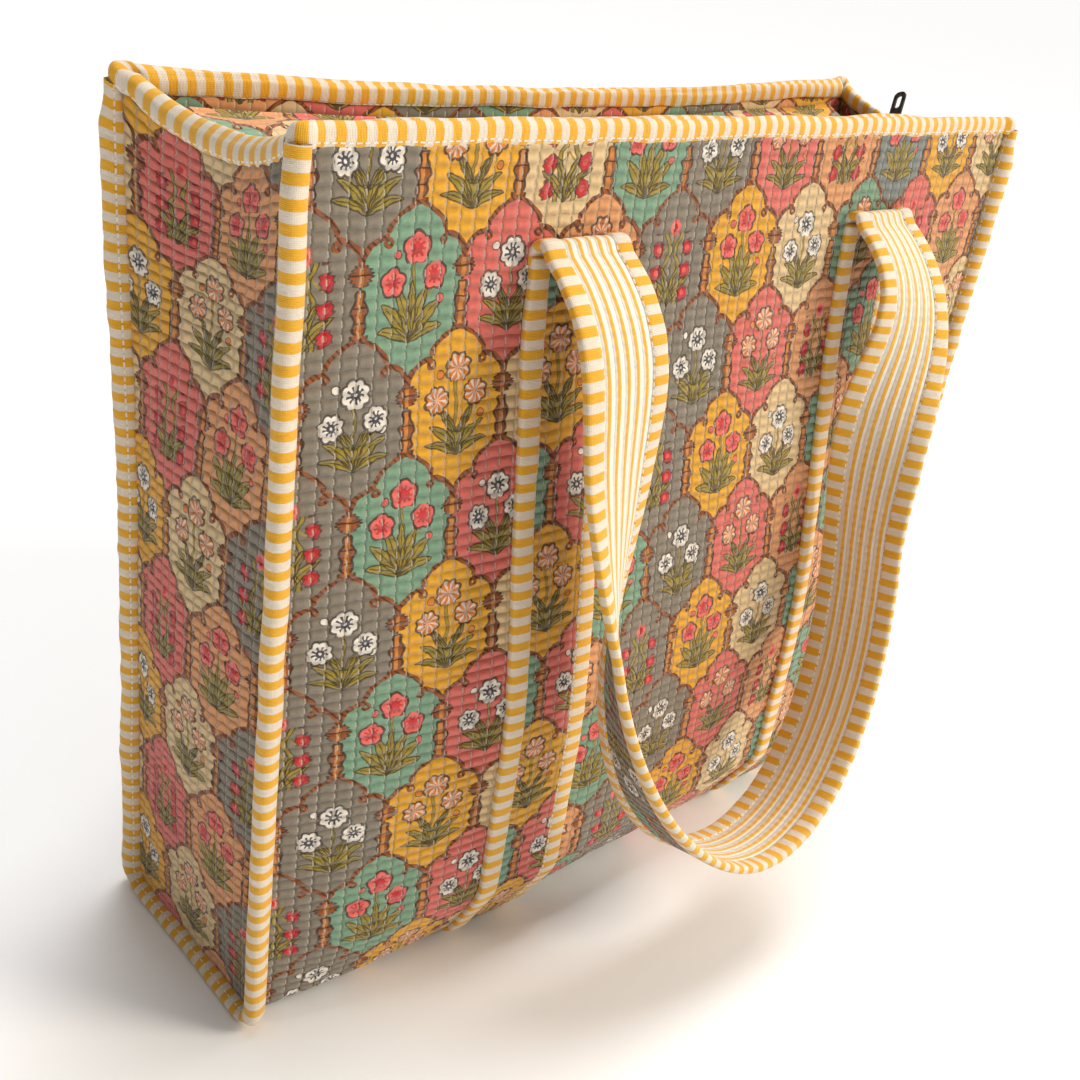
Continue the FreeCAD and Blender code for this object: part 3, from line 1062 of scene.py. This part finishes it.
def draw_flowers(finish, colour, u, drop, motif):
    """Three of the motifs share a plan: three flowers and two buds over a bunch of leaves."""
    is_white = motif.near(white_flowers, 0.5)
    is_gold = motif.near(gold_flowers, 0.5)
    is_poppy = motif.near(poppies, 0.5)
    trio = motif.near(red_plant, 0.5).flipped()
    lowered = drop - is_white * 4.5
    far, angle = flower_field(u, lowered)
    scallops = chosen(is_poppy, 2.5, 4.0)
    petals = (angle * scallops).sine().size() * 0.18 + 0.86
    shape = far / petals

    stem = (u + (drop * 0.35).sine() * 0.6).size()
    stem_band = both(drop.above(20.0), drop.below(50.0), trio)
    branch = (lowered + u.size() * 0.95 - 40.5).size()
    branch_band = both(u.size().below(9.0), trio)
    colour = finish.over(colour, ink, both(stem.below(0.85), stem_band), 0.7)
    colour = finish.over(colour, leaf, both(stem.below(0.5), stem_band))
    colour = finish.over(colour, leaf, both(branch.below(0.6), branch_band))

    other = both(trio, is_poppy.flipped())
    fill, lines = bunch(u - 0.7, drop, slender_leaves)
    broad_fill, broad_lines = bunch(u + 0.5, drop, broad_leaves)
    fill = both(fill, other).largest(both(broad_fill, is_poppy))
    lines = both(lines, other).largest(both(broad_lines, is_poppy))
    colour = finish.over(colour, leaf, fill)
    colour = finish.over(colour, ink, lines, 0.8)

    petal_colour = finish.over(coral, white, is_white)
    petal_colour = finish.over(petal_colour, orange, is_gold)
    bud = length_of(u - left_bud[0], drop - left_bud[1])
    bud = bud.smallest(length_of(u - right_bud[0], drop - right_bud[1]))
    colour = finish.over(colour, ink, both(bud.below(1.9), trio), 0.8)
    colour = finish.over(colour, petal_colour, both(bud.below(1.45), trio))
    petal = both(shape.below(1.0), trio)
    colour = finish.over(colour, petal_colour, petal)
    rays = (angle * 9.0 + far * 2.0).sine().above(0.15)
    colour = finish.over(colour, white, both(petal, is_gold, rays), 0.7)
    heart = both(shape.below(0.62), trio)
    dark_heart = both(heart, is_white, rays.largest(shape.below(0.34)), shape.above(0.12))
    colour = finish.over(colour, night, dark_heart, 0.95)
    colour = finish.over(colour, red, both(heart, is_poppy, rays.largest(shape.below(0.4))), 0.85)
    outline = both((shape - 1.0).size().below(0.095), trio)
    return finish.over(colour, ink, outline, 0.85)


def draw_red_plant(finish, colour, u, drop, motif):
    """The fourth motif: an upright plant with red flowers in a column on each side."""
    here = motif.near(red_plant, 0.5)
    side = u.size()
    band = both(drop.above(18.5), drop.below(50.0))
    step = (drop - 20.5).repeat(10.0) - 5.0
    bloom = length_of((side - 9.3) / 3.1, step / 3.4)
    ragged = bloom + ((u + step).sine() * (drop * 1.7).sine()) * 0.22
    flowers = both(ragged.below(1.0), band, here)
    tip = length_of(u / 3.0, (drop - 16.5) / 3.6)
    top = both((tip + (u * 2.2).sine() * 0.12).below(1.0), here)

    lyre = (side - 3.2 - (drop * 0.42).sine() * 1.6).size()
    stems = both(lyre.below(1.05), band, here)
    stems_edge = both((lyre - 1.05).size().below(0.3), band, here)
    sprig = both((step - side * 0.9 + 4.0).size().below(0.55), side.below(8.0), band, here)
    fill, lines = bunch(u, drop, slender_leaves[1:3])
    colour = finish.over(colour, leaf, both(fill, here).largest(stems).largest(sprig))
    colour = finish.over(colour, ink, both(lines, here), 0.8)
    colour = finish.over(colour, ink, stems_edge, 0.75)
    colour = finish.over(colour, red, flowers)
    colour = finish.over(colour, coral, both(flowers, bloom.below(0.4)), 0.6)
    colour = finish.over(colour, coral, top)
    colour = finish.over(colour, red, both(top, tip.below(0.5)))
    edge = both((ragged - 1.0).size().below(0.13), band, here)
    return finish.over(colour, ink, edge, 0.7)


stitch_inset = 2.0             # millimetres from a tape's inner edge to its row of stitches


def striped_tape_finish():
    """Woven tape with crosswise yellow and white stripes and a line of stitching by its fold, with painted
    shade along the stitching.
    """
    finish = Finish("striped_tape", 0.82, Sheen_Weight=0.3, Sheen_Roughness=0.4)
    around, along = finish.cloth_place()
    ragged = finish.noise(around * 2.2, along * 0.4, 1.0, 2.0) * 0.7
    stripe = ((along + ragged) / 8.0).repeat(1.0).below(0.5)
    fade = finish.noise(around, along, 14.0, 3.0) * 0.14 + 0.93
    colour = finish.over(paint(230, 216, 196), paint(234, 172, 34), stripe)
    colour = finish.shaded(colour, fade)
    threads = along.ribs(0.62) * 0.6 + around.ribs(0.8) * 0.25 + finish.noise(around, along, 0.7, 2.0) * 0.35
    colour = finish.shaded(colour, threads * 0.16 + 0.88)
    other_side = 2000 * tape_fold_width() - stitch_inset
    seam = around.near(stitch_inset, 0.35).largest(around.near(other_side, 0.35))
    dash = both(seam, (along / 3.2).repeat(1.0).below(0.66))
    # Painted shade: the colour darkens along the sunken stitch lines.
    colour = finish.shaded(colour, seam * -0.12 + 1.0)
    colour = finish.over(colour, paint(248, 240, 226), dash, 0.85)
    finish.colour(colour)
    puckers = finish.noise(around * 0.5, along * 1.6, 5.0, 2.0)
    finish.relief(threads * 0.30 + puckers * 1.6 - seam * 0.8 + dash * 0.5, 0.0006)
    return finish.material


def striped_backing_finish():
    """White cotton with thin yellow lines along the strap and channels of running stitch."""
    finish = Finish("striped_backing", 0.84, Sheen_Weight=0.25, Sheen_Roughness=0.5)
    across, along = finish.cloth_place()
    ragged = finish.noise(across, along * 0.2, 2.0, 2.0) * 0.8
    stripe = ((across + ragged) / 5.4).centred(1.0).size().below(0.18)
    colour = finish.over(paint(240, 230, 214), paint(236, 178, 62), stripe)
    channel = (across / 5.4 + 0.5).centred(1.0).size() * 2.0
    dash = (along / 4.6).repeat(1.0).below(0.6)
    stitch = both(channel.below(0.10), dash)
    colour = finish.over(colour, paint(252, 250, 246), stitch, 0.8)
    threads = finish.noise(across * 1.4, along * 1.4, 0.7, 2.0)
    colour = finish.shaded(colour, threads * 0.18 + 0.88)
    finish.colour(colour)
    ripple = (along * (2 * pi / 4.6)).sine() * 0.18
    finish.relief((channel.power(0.6)) * (ripple + 0.9) + threads * 0.25, 0.0011)
    return finish.material


def zip_tape_finish():
    """Closely woven tape."""
    finish = Finish("zip_tape", 0.8, Sheen_Weight=0.2)
    across, along = finish.cloth_place()
    threads = across.ribs(0.9) * 0.5 + finish.noise(across, along, 0.8, 2.0) * 0.5
    fade = finish.noise(across, along, 18.0, 2.0) * 0.2 + 0.9
    colour = finish.over(paint(186, 138, 46), paint(150, 106, 34), threads)
    finish.colour(finish.shaded(colour, fade))
    finish.relief(threads, 0.0003)
    return finish.material


def object_place(finish):
    """(x, y, z) on the piece itself, in millimetres."""
    coordinates = finish.tree.nodes.new("ShaderNodeTexCoord")
    split = finish.tree.nodes.new("ShaderNodeSeparateXYZ")
    finish.tree.links.new(coordinates.outputs["Object"], split.inputs[0])
    return tuple(Field(finish.tree, split.outputs[k]) * 1000.0 for k in range(3))


def zip_coil_finish():
    """Nylon coil, its turns drawn as ribs along X, with painted shade in the gaps between the turns."""
    finish = Finish("zip_coil", 0.42, Coat_Weight=0.15)
    x, y, z = object_place(finish)
    turns = x.ribs(1.4)
    dull = finish.noise(x, y + z, 3.0, 2.0) * 0.3 + 0.8
    # Painted shade: darker colour in the gaps between the coil's turns.
    colour = finish.over(paint(196, 150, 60), paint(112, 78, 24), turns.flipped())
    finish.colour(finish.shaded(colour, dull))
    finish.relief(turns, 0.0006)
    return finish.material


def zip_metal_finish():
    """Dark plated metal, rubbed a little brighter in patches."""
    finish = Finish("zip_metal", 0.38, Metallic=1.0)
    x, y, z = object_place(finish)
    rub = finish.noise(x + y, z, 2.2, 3.0)
    scratch = finish.noise(x * 0.3 + y, z * 2.5, 0.5, 2.0)
    colour = finish.over(paint(58, 50, 44), paint(118, 104, 88), (rub - 0.35).largest(0.0) * 1.2)
    finish.colour(finish.shaded(colour, scratch * 0.3 + 0.85))
    rough = rub * 0.25 + 0.28
    finish.tree.links.new(rough.socket, finish.shader.inputs["Roughness"])
    finish.relief(scratch, 0.00005)
    return finish.material


def dress(piece, body, slot, material):
    """Gives a piece its body and its finish. The slot argument is not used."""
    piece.data.materials.clear()
    piece.data.materials.append(material)
    if body:
        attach(piece, body)


def dress_node(node, material):
    piece = frame["nodes"][node]
    for slot in piece.material_slots:
        slot.material = material


# Background colours of the print's cells, along an odd row and the even row below it.
wrap_colours = ([grey, yellow, cream, teal, grey, pink, peach, slate, yellow, cream],
                [teal, pink, peach, grey, yellow, cream, teal, pink, peach, grey])
gusset_colours = ([yellow, cream, grey, pink, teal], [pink, peach, grey, yellow, cream])
print_cloth = print_finish("print_cloth", *wrap_colours, 3)
gusset_cloth = print_finish("gusset_print_cloth", *gusset_colours, 2)
lining_cloth = print_finish("lining_cloth", *wrap_colours, 3, flat=True)
striped_tape = striped_tape_finish()
striped_backing = striped_backing_finish()
zip_tape = zip_tape_finish()
zip_coil = zip_coil_finish()
zip_metal = zip_metal_finish()


# ---------------------------------------------------------------- the set

def area_light(name, place, size, power, colour):
    """A round lamp that faces the middle of the bag."""
    lamp = bpy.data.lights.new(name, "AREA")
    lamp.shape = "DISK"
    lamp.size = size
    lamp.energy = power
    lamp.color = colour
    thing = put_in_scene(name, lamp)
    thing.location = place
    aim = Vector((0, 0, 0.2)) - Vector(place)
    thing.rotation_euler = aim.to_track_quat("-Z", "Y").to_euler()


def make_floor():
    half = 60.0
    mesh = bpy.data.meshes.new("floor")
    mesh.from_pydata([(-half, -half, 0), (half, -half, 0), (half, half, 0), (-half, half, 0)],
                     [], [(0, 1, 2, 3)])
    floor = put_in_scene("floor", mesh)
    material = bpy.data.materials.new("floor_paper")
    material.use_nodes = True
    shader = material.node_tree.nodes["Principled BSDF"]
    shader.inputs["Base Color"].default_value = (0.95, 0.95, 0.95, 1)
    shader.inputs["Roughness"].default_value = 0.9
    mesh.materials.append(material)


def make_studio():
    make_floor()
    world = bpy.data.worlds.new("studio")
    bpy.context.scene.world = world
    world.use_nodes = True
    tree = world.node_tree
    light = tree.nodes["Background"]
    light.inputs["Color"].default_value = (1.0, 0.985, 0.96, 1)
    way = tree.nodes.new("ShaderNodeTexCoord")
    split = tree.nodes.new("ShaderNodeSeparateXYZ")
    tree.links.new(way.outputs["Generated"], split.inputs[0])
    bright = tree.nodes.new("ShaderNodeMapRange")     # dim on the left, bright behind and right
    bright.inputs["From Min"].default_value = -1.0
    bright.inputs["From Max"].default_value = 0.6
    bright.inputs["To Min"].default_value = 0.10
    bright.inputs["To Max"].default_value = 0.60
    tree.links.new(split.outputs[0], bright.inputs["Value"])
    tree.links.new(bright.outputs[0], light.inputs["Strength"])
    area_light("key", (1.6, -2.0, 2.0), 1.2, 62, (1.0, 0.91, 0.78))
    area_light("fill", (-0.4, -2.4, 0.9), 2.2, 3, (1.0, 0.96, 0.92))
    sun = bpy.data.lights.new("overhead", "SUN")
    sun.energy = 2.1
    sun.angle = radians(30)
    overhead = put_in_scene("overhead", sun)
    overhead.rotation_euler = (radians(-8), radians(14), 0)
    bpy.context.scene.view_settings.view_transform = "Standard"


def make_camera():
    camera = put_in_scene("camera", bpy.data.cameras.new("camera"))
    camera.data.sensor_width = 36.0
    camera.data.lens = 42.45
    camera.data.clip_start = 0.02
    sideways = Vector((0.73260, -0.66657, 0.13769))
    upward = Vector((0.21715, 0.42061, 0.88087))
    backward = sideways.cross(upward)
    turn = Matrix((sideways, upward, backward)).transposed()
    camera.matrix_world = Matrix.Translation((-0.4574, -0.4075, 0.4755)) @ turn.to_4x4()
    bpy.context.scene.camera = camera


make_wrap()
make_wrap_lining()
sides = (("left", -1), ("right", 1))
ends = (("front", 1), ("back", -1))
for side, outward in sides:
    make_side_panel(side, outward)
for side, outward in sides:
    make_side_binding(side, outward)
make_mouth_binding()
for side, outward in sides:
    make_run(side, outward * spread + strap_drift)
for name, end in ends:
    make_handle(name, end)
for name, end in ends:
    make_flap(name, end)
for coil in ("front_zip_coil", "back_zip_coil"):
    dress_node(coil, zip_coil)
for metal in ("front_zip_stops", "back_zip_stops", "zip_slider", "pull_tab", "pull_pin"):
    dress_node(metal, zip_metal)
make_studio()
make_camera()
